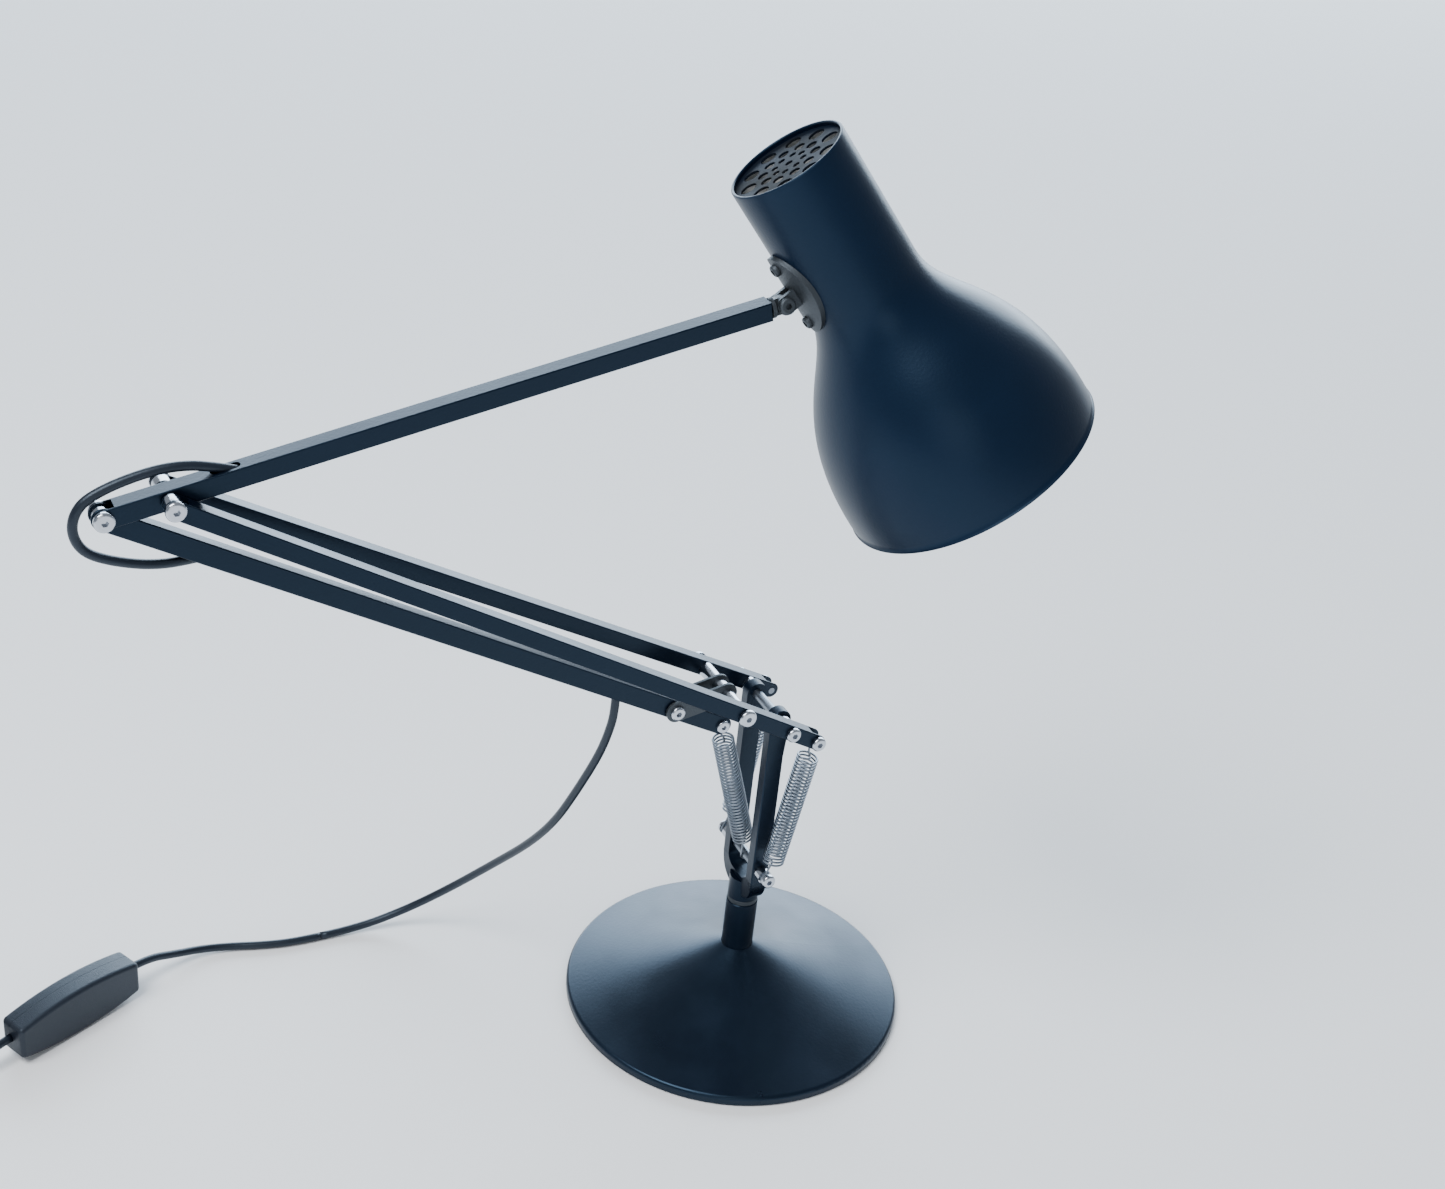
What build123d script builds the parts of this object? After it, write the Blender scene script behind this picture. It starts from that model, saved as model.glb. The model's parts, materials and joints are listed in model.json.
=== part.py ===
"""Spring-balanced swing arm desk lamp, in millimetres.

The origin is the centre of the base's underside and +Z is up. The arms move in the XZ plane: the elbow
is toward -X, the shade toward +X, and the near side bar is at -Y.
"""
from build123d import *
import math
import os

# ---------------------------------------------------------------- driving dimensions
# base and spindle
base_radius = 105.0
base_rim_height = 6.0
base_rise = 34.0  # rim top to the spindle's foot
cover_wall = 1.5
pad_thickness = 2.0
pad_inset = 4.0
ballast_gap = 0.4  # between the pressed cover and the ballast under it
spindle_radius = 9.75
spindle_wall = 2.7
spindle_length = 34.0  # above the cover
washer_thickness = 3.2
stud_radius = 5.0

# bracket
pivot_height = 217.0
bracket_inner_half = 12.0
bracket_wall = 7.0
bracket_front = 6.5  # from the pivot's vertical line to the front edge
bracket_rear = 4.5
bracket_floor = 15.0  # solid height under the channel
ear_radius = 6.5
spring_pin_height = 108.0
spring_pin_x = -1.0

# arms
arm_angle = 28.6  # lower arm above the horizontal
upper_angle = 11.8  # upper arm above the horizontal
lower_length = 388.0  # main pivot to elbow
upper_length = 326.8  # elbow to the shade's tilt axis
link_station = 35.0  # main pivot to the link pivot, along the side bars
link_length = 31.5  # link plates, and the upper arm's tail
spring_arm = 19.5  # main pivot to the rear spring pins
rod_overhang = 36.0  # link pin to the front spring pin, along the lower rod
bar_width = 9.5
bar_height = 9.5
bar_wall = 1.2
bar_spread_rear = 28.5  # side bar's middle from the arm plane, at the main pivot
elbow_gap = 0.65  # between the upper arm and each side bar, at the elbow
upper_width = 10.4
upper_height = 10.4
rod_width = 7.8
rod_height = 11.4
tube_wall = 1.0
fork_gap = 0.3  # between the lower rod and the upper arm's tail, each side
link_thickness = 1.5
link_width = 13.0
link_gap = 0.5  # between a link plate and the lower rod

# pivots and fasteners
pin_radius = 3.0
small_pin_radius = 2.0
running_fit = 0.05  # radial clearance where a pin turns
bush_wall = 1.65
sleeve_wall = 1.45
thin_sleeve_wall = 0.55  # near-side sleeve of the link pivot
bush_radius = pin_radius + running_fit + bush_wall
sleeve_radius = pin_radius + running_fit + sleeve_wall
open_pivot_fit = 0.35  # radial clearance at the linkage's opened pivot
large_head_radius = 5.25
small_head_radius = 4.4
head_height = 2.6
socket_flats = 3.2
thread_radius = 1.6
thread_length = 5.0

# springs
spring_radius = 7.0
spring_wall = 1.6
spring_top_gap = 11.0
spring_bottom_gap = 13.0

# shade
shade_swivel = -13.6  # about the upper arm's line
shade_tilt = 56.2  # below the horizontal, before the swivel
shade_length = 205.5
neck_radius = 33.0
neck_length = 79.0
mouth_radius = 75.0
shade_wall = 1.2
tilt_to_top = 61.2  # tilt axis to the neck's top edge, along the shade
saddle_thickness = 2.6
saddle_length = 48.0
saddle_width = 33.0
eye_radius = 5.0
saddle_gap = eye_radius + saddle_thickness + 2.4  # tilt axis to the neck's surface
saddle_screw_spread = 17.0  # each side of the tilt axis, along the shade
eye_width = 5.0
lug_thickness = 2.6
lug_gap = 0.3
collar_radius = 5.6
collar_length = 2.2
vent_recess = 3.0
vent_thickness = 1.2
holder_radius = 19.0
holder_start = 14.0  # from the neck's top
holder_length = 46.0
bulb_base_radius = 13.0
bulb_radius = 27.5
bulb_centre = 115.0  # from the neck's top

# cord, switch and plug
cord_radius = 2.5
slot_clearance = 0.4
floor_gap = 0.1  # under the cord and what lies with it
coil_radius = 29.0  # middle of the turns
coil_band = 7.0  # half the band's width
coil_lead_length = 937.0  # cord wound in the coil
switch_length = 84.0
switch_height = 31.0
switch_end_height = 21.0
switch_front = 11.0  # thickness of the front half
switch_rear = 7.5
switch_seam = 0.15
rocker_length = 15.0
rocker_height = 9.0
rocker_pin_radius = 1.2
plug_length = 34.0
plug_width = 26.0
plug_thickness = 14.0
relief_length = 20.0
plug_pin_length = 19.0

os.makedirs("parts", exist_ok=True)


def finish(part, name):
    """Labels a finished piece and writes it to its own file."""
    part.label = name
    export_step(part, f"parts/{name}.step")


# ---------------------------------------------------------------- stations and planes
def direction(angle):
    """Unit vector in the arm plane, at an angle above +X."""
    return Vector(math.cos(math.radians(angle)), 0, math.sin(math.radians(angle)))


to_elbow = direction(180 - arm_angle)
to_shade = direction(upper_angle)
main_pivot = Vector(0, 0, pivot_height)
elbow = main_pivot + to_elbow * lower_length
link_pivot = main_pivot + to_elbow * link_station
tail_pivot = elbow - to_shade * link_length
link_pin = link_pivot - to_shade * link_length
front_spring_top = link_pin - to_elbow * rod_overhang
rear_spring_top = main_pivot - to_elbow * spring_arm
spring_foot = Vector(spring_pin_x, 0, spring_pin_height)
tilt_axis_point = elbow + to_shade * upper_length

lower_plane = Plane(origin=main_pivot, x_dir=to_elbow, z_dir=(0, 1, 0))
rod_plane = Plane(origin=link_pin, x_dir=to_elbow, z_dir=(0, 1, 0))
link_plane = Plane(origin=link_pivot, x_dir=to_shade, z_dir=(0, -1, 0))
upper_plane = Plane(origin=elbow, x_dir=to_shade, z_dir=(0, -1, 0))

bracket_outer_half = bracket_inner_half + bracket_wall
bar_spread_elbow = upper_width / 2 + elbow_gap + bar_width / 2
bar_lean = math.atan((bar_spread_rear - bar_spread_elbow) / lower_length)
lean_rise = large_head_radius * math.tan(bar_lean) + 0.05  # keeps a head clear of a leaning bar


def bar_middle(station):
    """Side bar's middle from the arm plane, at a distance from the main pivot toward the elbow."""
    return bar_spread_rear - station * math.tan(bar_lean)


def bar_face(station, outward):
    """Side bar's outer (+1) or inner (-1) face from the arm plane, measured along Y."""
    return bar_middle(station) + outward * bar_width / 2 / math.cos(bar_lean)


def side_plane(point, side, distance):
    """Plane facing outward along Y at a distance from the arm plane, on the near (-1) or far (+1) side."""
    return Plane(origin=(point.X, side * distance, point.Z), x_dir=(side, 0, 0), z_dir=(0, side, 0))


def turned_rod(point, spans):
    """Solid turned along Y through a point: spans are (from, to, radius) along Y, end to end."""
    with BuildPart() as rod:
        for low, high, radius in spans:
            with BuildSketch(Plane(origin=(point.X, low, point.Z), x_dir=(1, 0, 0), z_dir=(0, 1, 0))):
                Circle(radius)
            extrude(amount=high - low)
    return rod.part


def tube_along_y(point, low, high, outer, inner):
    """Plain bush along Y."""
    with BuildPart() as bush:
        with BuildSketch(Plane(origin=(point.X, low, point.Z), x_dir=(1, 0, 0), z_dir=(0, 1, 0))):
            Circle(outer)
            Circle(inner, mode=Mode.SUBTRACT)
        extrude(amount=high - low)
    return bush.part


def button_screws(seats, head_radius, shank_radius=thread_radius, shank_length=thread_length):
    """Socket button-head screws, one on each seat plane, shank going into it."""
    with BuildPart() as screws:
        for seat in seats:
            outward = Axis(seat.origin, seat.z_dir)
            with BuildSketch(seat):
                Circle(head_radius)
            extrude(amount=head_height)
            fillet(screws.edges(Select.LAST).group_by(outward)[-1], head_height * 0.55)
            with BuildSketch(seat.offset(head_height)):
                RegularPolygon(socket_flats / 2, 6, major_radius=False)
            extrude(amount=-head_height * 0.7, mode=Mode.SUBTRACT)
            with BuildSketch(seat):
                Circle(shank_radius)
            extrude(amount=-shank_length)
    return screws.part


def drilled_pin(point, half, radius, steps=()):
    """Cross pin along Y, tapped at both ends; steps are wider spans as (from, to, radius)."""
    with BuildPart() as pin:
        with BuildSketch(Plane(origin=(point.X, -half, point.Z), x_dir=(1, 0, 0), z_dir=(0, 1, 0))):
            Circle(radius)
        extrude(amount=2 * half)
        for low, high, wide in steps:
            with BuildSketch(Plane(origin=(point.X, low, point.Z), x_dir=(1, 0, 0), z_dir=(0, 1, 0))):
                Circle(wide)
            extrude(amount=high - low)
        for side in (-1, 1):
            with BuildSketch(side_plane(point, side, half)):
                Circle(min(thread_radius + 0.1, radius - 0.3))
            extrude(amount=-thread_length - 0.5, mode=Mode.SUBTRACT)
    return pin.part


# ---------------------------------------------------------------- base
spindle_foot = base_rim_height + base_rise
cover_edge = 1.0  # the cover's lower edge stays above the table

# pressed steel cover: a low cone with a rolled rim
with BuildPart() as base_cover:
    with BuildSketch(Plane.XZ):
        with BuildLine():
            crown = spindle_radius + 0.2
            shoulder = (base_radius - 2.2, base_rim_height + 0.8)
            Line((base_radius, cover_edge), (base_radius, base_rim_height - 1.6))
            ThreePointArc(
                (base_radius, base_rim_height - 1.6), (base_radius - 0.7, base_rim_height), shoulder
            )
            Spline(shoulder, (crown, spindle_foot), tangents=[(-1, 0.24), (-1, 0.5)])
            Line((crown, spindle_foot), (crown, spindle_foot - cover_wall))
            Spline(
                (shoulder[0] - 0.3, shoulder[1] - cover_wall),
                (crown, spindle_foot - cover_wall),
                tangents=[(-1, 0.24), (-1, 0.5)],
            )
            Line((shoulder[0] - 0.3, shoulder[1] - cover_wall), (base_radius - cover_wall, base_rim_height - 2.6))
            Line((base_radius - cover_wall, base_rim_height - 2.6), (base_radius - cover_wall, cover_edge))
            Line((base_radius - cover_wall, cover_edge), (base_radius, cover_edge))
        make_face()
    revolve(axis=Axis.Z)
finish(base_cover.part, "base_cover")

# cast iron ballast under the cover, with a bore for the spindle's foot and a recess for its nut
nut_recess_radius = 17.0
nut_recess_height = 11.0
ballast_radius = base_radius - cover_wall - 2.0
with BuildPart() as ballast:
    with BuildSketch(Plane.XZ):
        with BuildLine():
            ballast_rim = base_rim_height - cover_wall - ballast_gap - 1.2
            top_radius = spindle_radius + 2.0
            ballast_top = spindle_foot - cover_wall - ballast_gap - 1.4
            Line((0, pad_thickness), (ballast_radius, pad_thickness))
            Line((ballast_radius, pad_thickness), (ballast_radius, ballast_rim))
            Spline(
                (ballast_radius, ballast_rim), (top_radius, ballast_top), tangents=[(-1, 0.24), (-1, 0.5)]
            )
            Line((top_radius, ballast_top), (0, ballast_top))
            Line((0, ballast_top), (0, pad_thickness))
        make_face()
    revolve(axis=Axis.Z)
    with BuildSketch(Plane.XY):
        Circle(nut_recess_radius)
    extrude(amount=pad_thickness + nut_recess_height, mode=Mode.SUBTRACT)
    with BuildSketch(Plane.XY):
        Circle(spindle_radius - 1.6 + 0.1)
    extrude(amount=base_rim_height + base_rise, mode=Mode.SUBTRACT)
finish(ballast.part, "ballast_weight")

# felt pad glued under the ballast
with BuildPart() as pad:
    with BuildSketch():
        Circle(base_radius - pad_inset)
    extrude(amount=pad_thickness)
    fillet(pad.edges().group_by(Axis.Z)[0], 0.4)
finish(pad.part, "base_pad")

# spindle: steel tube with a turned-down threaded foot, standing on the ballast
spindle_top = spindle_foot + spindle_length
spindle_bore = spindle_radius - spindle_wall
foot_bottom = pad_thickness + 2.0
with BuildPart() as spindle:
    with BuildSketch(Plane.XY.offset(ballast_top)):
        Circle(spindle_radius)
    extrude(amount=spindle_top - ballast_top)
    with BuildSketch(Plane.XY.offset(foot_bottom)):
        Circle(spindle_radius - 1.6)
    extrude(amount=ballast_top - foot_bottom)
    chamfer(spindle.edges().group_by(Axis.Z)[-1], 0.4)
    with BuildSketch(Plane.XY.offset(spindle_top)):
        Circle(spindle_bore)
    extrude(amount=-spindle_length - 2.0, mode=Mode.SUBTRACT)
finish(spindle.part, "spindle_tube")

# nut and washer that clamp the spindle's foot in the ballast's recess
recess_roof = pad_thickness + nut_recess_height
with BuildPart() as spindle_nut:
    with BuildSketch(Plane.XY.offset(recess_roof - 1.6)):
        Circle(15.0)
        Circle(spindle_radius - 1.5, mode=Mode.SUBTRACT)
    extrude(amount=1.6)
    with BuildSketch(Plane.XY.offset(foot_bottom)):
        RegularPolygon(13.0, 6, major_radius=False)
        Circle(spindle_radius - 1.5, mode=Mode.SUBTRACT)
    extrude(amount=recess_roof - 1.6 - foot_bottom)
finish(spindle_nut.part, "spindle_nut")

# nylon bush lining the spindle, which the bracket's stud turns in
with BuildPart() as spindle_bush:
    with BuildSketch(Plane.XY.offset(spindle_top - spindle_length + 1.0)):
        Circle(spindle_bore - 0.02)
        Circle(stud_radius + running_fit, mode=Mode.SUBTRACT)
    extrude(amount=spindle_length - 1.0)
finish(spindle_bush.part, "spindle_bush")

# pale ring washer between the spindle and the bracket
with BuildPart() as ring_washer:
    with BuildSketch(Plane.XY.offset(spindle_top)):
        Circle(spindle_radius - 0.35)
        Circle(stud_radius + 0.3, mode=Mode.SUBTRACT)
    extrude(amount=washer_thickness)
    fillet(ring_washer.edges().filter_by(GeomType.CIRCLE).sort_by(SortBy.RADIUS)[-2:], 0.6)
finish(ring_washer.part, "ring_washer")

# ---------------------------------------------------------------- bracket
bracket_bottom = spindle_top + washer_thickness + 0.3
channel_floor = bracket_bottom + bracket_floor + 3.0

# forked bracket: two walls that rise from a round boss to the ears of the main pivot
shoulder_height = channel_floor + 4.0
boss_top = bracket_bottom + 5.0
channel_corner = 7.0
with BuildPart() as bracket:
    with BuildSketch(Plane.YZ.offset(-bracket_front - 2.0)):
        with BuildLine():
            outer = bracket_outer_half
            ear_top = pivot_height + ear_radius + 1.0
            Line((-outer, ear_top), (-outer, shoulder_height))
            Bezier((-outer, shoulder_height), (-outer, boss_top + 3.0), (-spindle_radius, boss_top))
            Line((-spindle_radius, boss_top), (spindle_radius, boss_top))
            Bezier((spindle_radius, boss_top), (outer, boss_top + 3.0), (outer, shoulder_height))
            Line((outer, shoulder_height), (outer, ear_top))
            Line((outer, ear_top), (-outer, ear_top))
        make_face()
        with Locations((0, channel_floor + pivot_height / 2)):
            RectangleRounded(2 * bracket_inner_half, pivot_height, channel_corner, mode=Mode.SUBTRACT)
    extrude(amount=bracket_front + bracket_rear + 4.0)
    with BuildSketch(Plane(origin=(0, 0, 0), x_dir=(1, 0, 0), z_dir=(0, -1, 0))):
        with BuildLine():
            ear_start = (-ear_radius, pivot_height)
            waist_rear = (bracket_rear, pivot_height - 4 * ear_radius)
            Line((-bracket_front + 1.0, boss_top), (-bracket_front, shoulder_height))
            Line((-bracket_front, shoulder_height), ear_start)
            ThreePointArc(ear_start, (0, pivot_height + ear_radius), (ear_radius, pivot_height))
            Line((ear_radius, pivot_height), waist_rear)
            Line(waist_rear, (bracket_rear, boss_top))
            Line((bracket_rear, boss_top), (-bracket_front + 1.0, boss_top))
        make_face()
    extrude(amount=2 * bracket_outer_half, both=True, mode=Mode.INTERSECT)
    fillet(bracket.edges().filter_by(Axis.Z).group_by(Axis.Z)[0], 0.8)
    with BuildSketch(Plane.XY.offset(bracket_bottom)):
        Circle(spindle_radius - 0.3)
    extrude(amount=bracket_floor)
    with BuildSketch(Plane.XY.offset(bracket_bottom)):
        Circle(stud_radius + 0.02)
    extrude(amount=bracket_floor - 2.0, mode=Mode.SUBTRACT)
    with BuildSketch(Plane(origin=main_pivot, x_dir=(1, 0, 0), z_dir=(0, 1, 0))):
        Circle(pin_radius + running_fit)
    extrude(amount=2 * bracket_outer_half, both=True, mode=Mode.SUBTRACT)
    with BuildSketch(Plane(origin=spring_foot, x_dir=(1, 0, 0), z_dir=(0, 1, 0))):
        Circle(pin_radius + running_fit)
    extrude(amount=2 * bracket_outer_half, both=True, mode=Mode.SUBTRACT)
finish(bracket.part, "bracket")

# steel stud pressed into the boss: it turns in the spindle's bush
with BuildPart() as stud:
    with BuildSketch(Plane.XY.offset(spindle_foot + 4.0)):
        Circle(stud_radius)
    extrude(amount=bracket_bottom + bracket_floor - 2.2 - spindle_foot - 4.0)
    chamfer(stud.edges().group_by(Axis.Z)[0], 0.8)
finish(stud.part, "swivel_stud")

# cross pin low in the bracket that the springs' lower hooks hold on
spring_pin_half = 28.4
finish(drilled_pin(spring_foot, spring_pin_half, pin_radius), "spring_foot_pin")
finish(
    button_screws([side_plane(spring_foot, side, spring_pin_half) for side in (-1, 1)], small_head_radius),
    "spring_foot_screws",
)
spring_line_foot = bracket_outer_half + spring_radius + 1.3
with BuildPart() as foot_spacers:
    for side in (-1, 1):
        with BuildSketch(side_plane(spring_foot, side, bracket_outer_half + 0.1)):
            Circle(small_head_radius)
            Circle(pin_radius + running_fit, mode=Mode.SUBTRACT)
        extrude(amount=spring_line_foot - bracket_outer_half - 2.6)
finish(foot_spacers.part, "spring_foot_spacers")

# ---------------------------------------------------------------- springs
def spring_body(top, foot):
    """Closed coil of a tension spring from hook to hook, as a tube with tapered ends."""
    line = foot - top
    coil_start = top + line.normalized() * spring_top_gap
    coil_length = line.length - spring_top_gap - spring_bottom_gap
    seat = Plane(origin=coil_start, z_dir=line)
    taper = spring_radius * 0.55
    with BuildPart() as coil:
        with BuildSketch(Plane(origin=coil_start, x_dir=line, z_dir=seat.x_dir)):
            with BuildLine():
                Polyline(
                    (0, taper),
                    (taper, spring_radius),
                    (coil_length - taper, spring_radius),
                    (coil_length, taper),
                    (coil_length, taper - spring_wall),
                    (coil_length - taper, spring_radius - spring_wall),
                    (taper, spring_radius - spring_wall),
                    (0, taper - spring_wall),
                    close=True,
                )
            make_face()
        revolve(axis=Axis(coil_start, line))
    return coil.part


rear_line_top = bar_middle(-spring_arm)
finish(spring_body(front_spring_top, spring_foot), "front_spring")
rear_springs = [
    spring_body(
        Vector(rear_spring_top.X, side * rear_line_top, rear_spring_top.Z),
        Vector(spring_foot.X, side * spring_line_foot, spring_foot.Z),
    )
    for side in (-1, 1)
]
finish(Compound(children=rear_springs), "rear_springs")

# ---------------------------------------------------------------- lower arm: side bars
bar_length = lower_length / math.cos(bar_lean)
rear_reach = spring_arm / math.cos(bar_lean)
end_slot = bush_radius + 1.8  # how far the tube's top and bottom are cut back past each end pin


def side_bar(side):
    """Square tube, leaning toward the arm plane at the elbow, with forked ends."""
    inward = Vector(0, -side, 0) * math.sin(bar_lean)
    outward = Vector(0, side, 0) * math.cos(bar_lean)
    bar_plane = Plane(
        origin=main_pivot + Vector(0, side * bar_spread_rear, 0),
        x_dir=to_elbow * math.cos(bar_lean) + inward,
        z_dir=outward + to_elbow * math.sin(bar_lean),
    )
    middle = (bar_length - rear_reach) / 2
    with BuildPart() as bar:
        with BuildSketch(bar_plane):
            with Locations((middle, 0)):
                SlotCenterToCenter(bar_length + rear_reach, bar_height)
        extrude(amount=bar_width / 2, both=True)
        rims = [face.edges() for face in bar.faces().filter_by(bar_plane)]
        fillet(rims[0] + rims[1], 0.7)
        with BuildSketch(bar_plane):
            with Locations((middle, 0)):
                Rectangle(bar_length + rear_reach + bar_height + 1, bar_height - 2 * bar_wall)
            for end in (-rear_reach, bar_length):
                with Locations((end, 0)):
                    Rectangle(2 * end_slot, bar_height + 1)
        extrude(amount=bar_width / 2 - bar_wall, both=True, mode=Mode.SUBTRACT)
        with BuildSketch(lower_plane):
            with Locations((0, 0), (link_station, 0), (lower_length, 0)):
                Circle(pin_radius + running_fit)
            with Locations((-spring_arm, 0)):
                Circle(small_pin_radius + running_fit)
        extrude(amount=2 * bar_spread_rear, both=True, mode=Mode.SUBTRACT)
    return bar.part


finish(side_bar(-1), "near_side_bar")
finish(side_bar(1), "far_side_bar")

# main pivot pin, through the bracket's ears and both bars
main_half = bar_face(0, 1) + lean_rise
finish(drilled_pin(main_pivot, main_half, pin_radius), "main_pivot_pin")

# spacers between the ears and the bars
with BuildPart() as ear_spacers:
    for side in (-1, 1):
        with BuildSketch(side_plane(main_pivot, side, bracket_outer_half + 0.3)):
            Circle(sleeve_radius)
            Circle(pin_radius + running_fit, mode=Mode.SUBTRACT)
        extrude(amount=bar_face(0, -1) - lean_rise - bracket_outer_half - 0.3)
finish(ear_spacers.part, "ear_spacers")

# link pivot pin with its sleeves: wide ones beside and between the plates, a thin one on the near side
link_half = bar_face(link_station, 1) + lean_rise
link_inner = rod_width / 2 + link_gap
link_outer = link_inner + link_thickness
sleeve_end = bar_face(link_station, -1) - lean_rise
finish(drilled_pin(link_pivot, link_half, pin_radius), "link_pivot_pin")
sleeve_bore = pin_radius + running_fit
far_sleeve = tube_along_y(link_pivot, link_outer + 0.15, sleeve_end, sleeve_radius, sleeve_bore)
near_sleeve = tube_along_y(
    link_pivot, -sleeve_end, -link_outer - 0.15, sleeve_bore + thin_sleeve_wall, sleeve_bore
)
finish(Compound(children=[far_sleeve, near_sleeve]), "link_sleeves")

# elbow pin, through the upper arm and both bars, with a bush inside each bar's fork
elbow_half = bar_face(lower_length, 1) + lean_rise
finish(drilled_pin(elbow, elbow_half, pin_radius), "elbow_pin")
with BuildPart() as elbow_bushes:
    for side in (-1, 1):
        bush_start = bar_face(lower_length, -1) + bar_wall + 0.3
        bush_end = bar_face(lower_length, 1) - bar_wall - 0.3
        with BuildSketch(side_plane(elbow, side, bush_start)):
            Circle(bush_radius)
            Circle(pin_radius + running_fit, mode=Mode.SUBTRACT)
        extrude(amount=bush_end - bush_start)
finish(elbow_bushes.part, "elbow_bushes")

# short pins in the rear forks that hold the rear springs' upper hooks
rear_pin_low = bar_face(-spring_arm, -1) - 0.3
rear_pin_high = bar_face(-spring_arm, 1) + lean_rise
with BuildPart() as rear_pins:
    for side in (-1, 1):
        with BuildSketch(side_plane(rear_spring_top, side, rear_pin_low)):
            Circle(small_pin_radius)
        extrude(amount=rear_pin_high - rear_pin_low)
        with BuildSketch(side_plane(rear_spring_top, side, rear_pin_high)):
            Circle(1.3)
        extrude(amount=-4.0, mode=Mode.SUBTRACT)
finish(rear_pins.part, "rear_spring_pins")

# button-head screws of the lower arm
large_seats = [
    side_plane(point, side, half)
    for point, half in ((link_pivot, link_half), (elbow, elbow_half))
    for side in (-1, 1)
]
main_seats = [side_plane(main_pivot, side, main_half) for side in (-1, 1)]
rear_seats = [side_plane(rear_spring_top, side, rear_pin_high) for side in (-1, 1)]
arm_screws = [
    button_screws(large_seats, large_head_radius),
    button_screws(main_seats, small_head_radius),
    button_screws(rear_seats, small_head_radius, 1.2, 3.5),
]
finish(Compound(children=arm_screws), "lower_arm_screws")

# ---------------------------------------------------------------- lower rod
rod_start = -rod_overhang
rod_end = (tail_pivot - link_pin).dot(to_elbow)
lead_exit = 39.0  # link pin to the hole the free lead leaves by, along the rod
loop_entry = rod_end - 49.0  # to the hole the elbow loop goes in by
slot_half = cord_radius + slot_clearance
rod_end_slot = bush_radius + 1.6
with BuildPart() as lower_rod:
    with BuildSketch(rod_plane):
        with Locations(((rod_start + rod_end) / 2, 0)):
            SlotCenterToCenter(rod_end - rod_start, rod_height)
    extrude(amount=rod_width / 2, both=True)
    rims = [face.edges() for face in lower_rod.faces().filter_by(rod_plane)]
    fillet(rims[0] + rims[1], 0.7)
    with BuildSketch(rod_plane):
        with Locations(((rod_start + rod_end) / 2, 0)):
            Rectangle(rod_end - rod_start + rod_height + 1, rod_height - 2 * tube_wall)
        for end in (rod_start, rod_end):
            with Locations((end, 0)):
                Rectangle(2 * rod_end_slot, rod_height + 1)
    extrude(amount=rod_width / 2 - tube_wall, both=True, mode=Mode.SUBTRACT)
    with BuildSketch(rod_plane):
        Circle(pin_radius + open_pivot_fit)
        with Locations((rod_end, 0)):
            Circle(pin_radius + running_fit)
        with Locations((rod_start, 0)):
            Circle(small_pin_radius + running_fit)
    extrude(amount=rod_width, both=True, mode=Mode.SUBTRACT)
    with BuildSketch(Plane(origin=link_pin, x_dir=to_elbow, z_dir=lower_plane.y_dir).offset(-rod_height)):
        with Locations((lead_exit, 0), (loop_entry, 0)):
            SlotOverall(6 * cord_radius, 2 * slot_half)
    extrude(amount=rod_height, mode=Mode.SUBTRACT)
finish(lower_rod.part, "lower_rod")

# bush in the rod's forked end, on the tail pin
rod_inner_half = rod_width / 2 - tube_wall
finish(
    tube_along_y(tail_pivot, -rod_inner_half + 0.05, rod_inner_half - 0.05, bush_radius, sleeve_bore),
    "tail_bush",
)

# pin across the rod's rear fork that holds the front spring's upper hook
front_half = rod_width / 2 + 0.05
finish(turned_rod(front_spring_top, [(-front_half, front_half, small_pin_radius)]), "front_spring_pin")
front_seats = [side_plane(front_spring_top, side, front_half + 0.05) for side in (-1, 1)]
with BuildPart() as front_caps:
    for seat in front_seats:
        with BuildSketch(seat):
            Circle(small_head_radius - 0.4)
        extrude(amount=head_height - 0.6)
        fillet(front_caps.edges(Select.LAST).group_by(Axis(seat.origin, seat.z_dir))[-1], 0.9)
        with BuildSketch(seat.offset(head_height - 0.6)):
            RegularPolygon(socket_flats / 2 - 0.2, 6, major_radius=False)
        extrude(amount=-1.2, mode=Mode.SUBTRACT)
finish(front_caps.part, "front_spring_caps")

# ---------------------------------------------------------------- link plates
with BuildPart() as plates:
    for side in (-1, 1):
        with BuildSketch(link_plane.offset(-side * link_inner)):
            with Locations((-link_length / 2, 0)):
                SlotCenterToCenter(link_length, link_width)
            with Locations((0, 0), (-link_length, 0)):
                Circle(pin_radius + running_fit, mode=Mode.SUBTRACT)
        extrude(amount=-side * link_thickness)
finish(plates.part, "link_plates")

# tube between the plates, on the link pivot
finish(
    tube_along_y(link_pivot, -link_inner + 0.1, link_inner - 0.1, sleeve_radius, sleeve_bore + 0.02),
    "link_spacer",
)

# pin at the plates' lower end; the rod's hole on it is the linkage's opened pivot
link_pin_half = link_outer + 0.1
finish(drilled_pin(link_pin, link_pin_half, pin_radius), "link_rod_pin")
link_seats = [side_plane(link_pin, side, link_pin_half) for side in (-1, 1)]
finish(button_screws(link_seats, small_head_radius), "link_rod_screws")

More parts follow.
